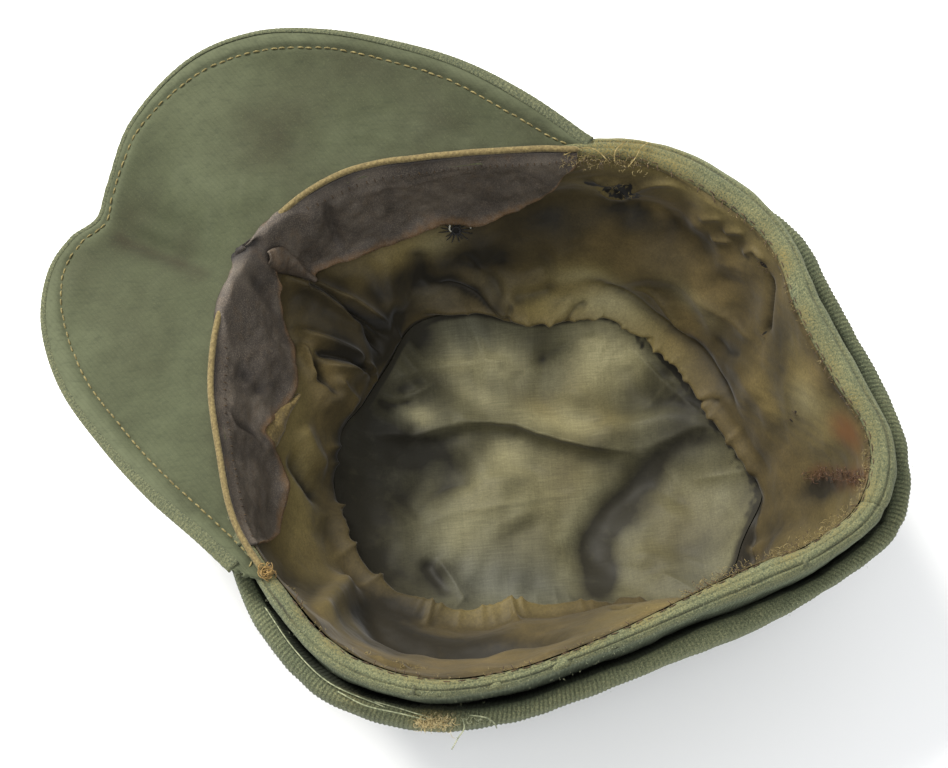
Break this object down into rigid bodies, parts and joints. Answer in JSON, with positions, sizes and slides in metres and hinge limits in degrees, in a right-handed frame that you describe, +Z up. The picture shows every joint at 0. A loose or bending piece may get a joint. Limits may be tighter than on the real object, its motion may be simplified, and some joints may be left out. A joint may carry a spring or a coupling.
{
  "type": "field cap",
  "caption": "Woollen field cap with a cloth peak and a turn-up, lying upside down on its crown with its lining and leather band showing.",
  "frame": {"origin": "middle of the crown top's flat outer face, which the cap lies on", "axes": "+Z up out of the head opening, -Y to the peak, +X to the wearer's right, because the cap lies upside down"},
  "size_m": [0.2018, 0.273, 0.093],
  "materials": {
    "wool": "ribbed grey-green wool, matt and worn",
    "peak_cloth": "smooth grey-green cloth, matt, stained brown in places",
    "lining_brown": "brown-olive satin, worn and creased",
    "lining_olive": "grey-olive satin, worn and creased",
    "band_leather": "purple-brown leather, dull, with rusty edges",
    "piping_cloth": "tan cord, matt",
    "button_paint": "dull grey-green paint, pebbled"
  },
  "bodies": {
    "root": {"crown_top": "wool", "crown_side_right": "wool", "crown_side_left": "wool", "turn_up_right": "wool", "turn_up_left": "wool", "peak": "peak_cloth", "lining_side": "lining_brown", "lining_top": "lining_olive", "sweatband": "band_leather", "piping": "piping_cloth", "turn_up_button_upper": "button_paint", "turn_up_button_lower": "button_paint"}
  },
  "joints": []
}
